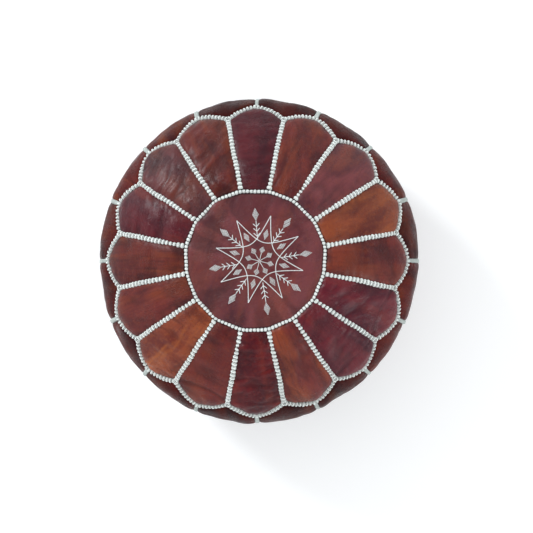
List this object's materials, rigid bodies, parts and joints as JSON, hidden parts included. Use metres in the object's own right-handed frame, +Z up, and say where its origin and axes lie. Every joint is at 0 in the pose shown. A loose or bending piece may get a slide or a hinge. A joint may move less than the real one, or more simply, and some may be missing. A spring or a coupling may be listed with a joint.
{
  "type": "moroccan leather pouf",
  "caption": "Round stuffed leather floor pouf with a petalled top round an embroidered medallion, panelled sides and a zipped base that opens on its insert.",
  "frame": {"origin": "on the floor, under the middle of the pouf", "axes": "+Z up through the medallion's middle; the base's zip runs along X and closes towards +X; a petal is centred on each of +X, +Y, -X and -Y"},
  "size_m": [0.523, 0.523, 0.3212],
  "materials": {
    "leather_medallion": "semi-gloss goat leather, red-brown",
    "leather_brown": "semi-gloss goat leather, mottled chestnut",
    "leather_tan": "semi-gloss goat leather, streaked with tan",
    "leather_maroon": "semi-gloss goat leather, dark maroon",
    "leather_side": "semi-gloss goat leather, dark chestnut",
    "leather_base": "plain vegetable-tanned leather, satin",
    "seam_thread": "thick twisted cotton cord, off-white",
    "embroidery_thread": "mercerised cotton thread, off-white",
    "lining_cotton": "unbleached cotton over thin padding",
    "calico": "unbleached calico",
    "cotton_wadding": "loose cotton wadding",
    "zip_tape": "woven polyester tape, dark brown",
    "zip_brass": "antiqued brass",
    "sewing_thread": "waxed sewing thread, natural"
  },
  "bodies": {
    "cover": {"medallion": "leather_medallion", "petal_01": "leather_brown", "petal_02": "leather_tan", "petal_03": "leather_brown", "petal_04": "leather_brown", "petal_05": "leather_maroon", "petal_06": "leather_brown", "petal_07": "leather_brown", "petal_08": "leather_brown", "petal_09": "leather_brown", "petal_10": "leather_brown", "petal_11": "leather_tan", "petal_12": "leather_maroon", "petal_13": "leather_maroon", "petal_14": "leather_brown", "petal_15": "leather_maroon", "petal_16": "leather_maroon", "side_panel_01": "leather_side", "side_panel_02": "leather_side", "side_panel_03": "leather_side", "side_panel_04": "leather_side", "side_panel_05": "leather_side", "side_panel_06": "leather_side", "side_panel_07": "leather_side", "side_panel_08": "leather_side", "side_panel_09": "leather_side", "side_panel_10": "leather_side", "side_panel_11": "leather_side", "side_panel_12": "leather_side", "side_panel_13": "leather_side", "side_panel_14": "leather_side", "side_panel_15": "leather_side", "side_panel_16": "leather_side", "base_half_front": "leather_base", "base_half_rear": "leather_base", "medallion_seam": "seam_thread", "petal_seams": "seam_thread", "scallop_seam": "seam_thread", "side_seams": "seam_thread", "base_seam": "seam_thread", "embroidery_star": "embroidery_thread", "embroidery_sprigs": "embroidery_thread", "embroidery_diamonds": "embroidery_thread", "embroidery_rosette": "embroidery_thread", "lining_top": "lining_cotton", "lining_side": "lining_cotton", "lining_base": "lining_cotton", "insert_cover": "calico", "insert_filling": "cotton_wadding", "zip_tape_front": "zip_tape", "zip_tape_rear": "zip_tape", "zip_teeth_front": "zip_brass", "zip_teeth_rear": "zip_brass", "zip_stops": "zip_brass", "zip_stitching": "sewing_thread"},
    "slider": {"zip_slider": "zip_brass"},
    "pull": {"zip_pull": "zip_brass"}
  },
  "joints": [
    {"name": "zip_slide", "type": "slide", "parent": "cover", "child": "slider", "axis": [-1, 0, 0], "range_m": [0, 0.259], "deforming": ["zip_teeth_front", "zip_teeth_rear"]},
    {"name": "pull_swing", "type": "hinge", "parent": "slider", "child": "pull", "pos_m": [0.127, 0, 0.0065], "axis": [0, -1, 0], "range_deg": [0, 180]}
  ]
}
